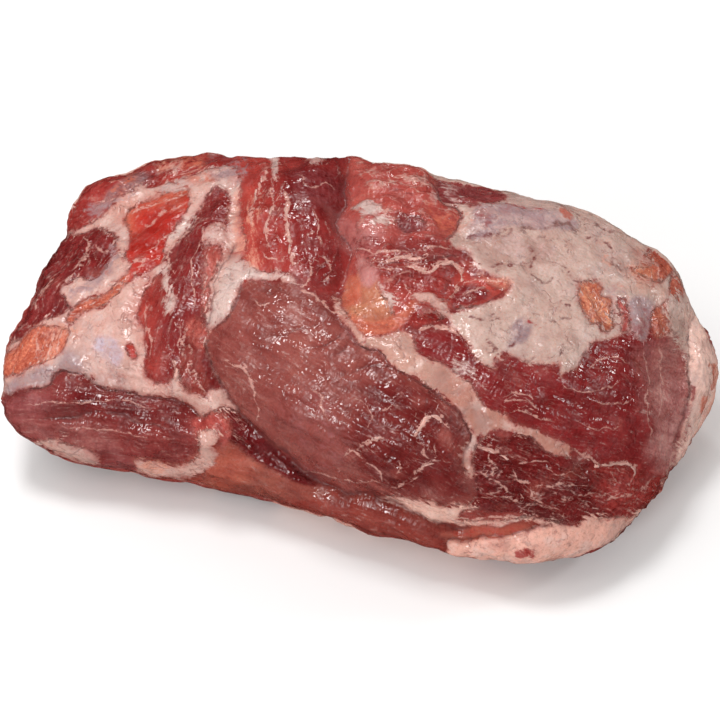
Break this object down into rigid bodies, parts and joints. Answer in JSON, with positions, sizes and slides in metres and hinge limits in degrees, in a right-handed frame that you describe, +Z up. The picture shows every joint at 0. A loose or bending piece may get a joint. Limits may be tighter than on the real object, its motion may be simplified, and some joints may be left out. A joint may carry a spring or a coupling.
{
  "type": "pork neck",
  "caption": "Raw boneless pork neck: one block of long marbled muscles with fat seams and a cap of fat on top, lying on a flat underside.",
  "frame": {"origin": "middle of the footprint, on the flat underside", "axes": "+X along the neck towards its thicker, fat-capped end, +Y away from the picture's viewer, +Z up"},
  "size_m": [0.2654, 0.145, 0.0972],
  "materials": {
    "raw_pork": "moist raw muscle with fat seams, semi-gloss"
  },
  "bodies": {
    "root": {"pork_neck": "raw_pork"}
  },
  "joints": []
}
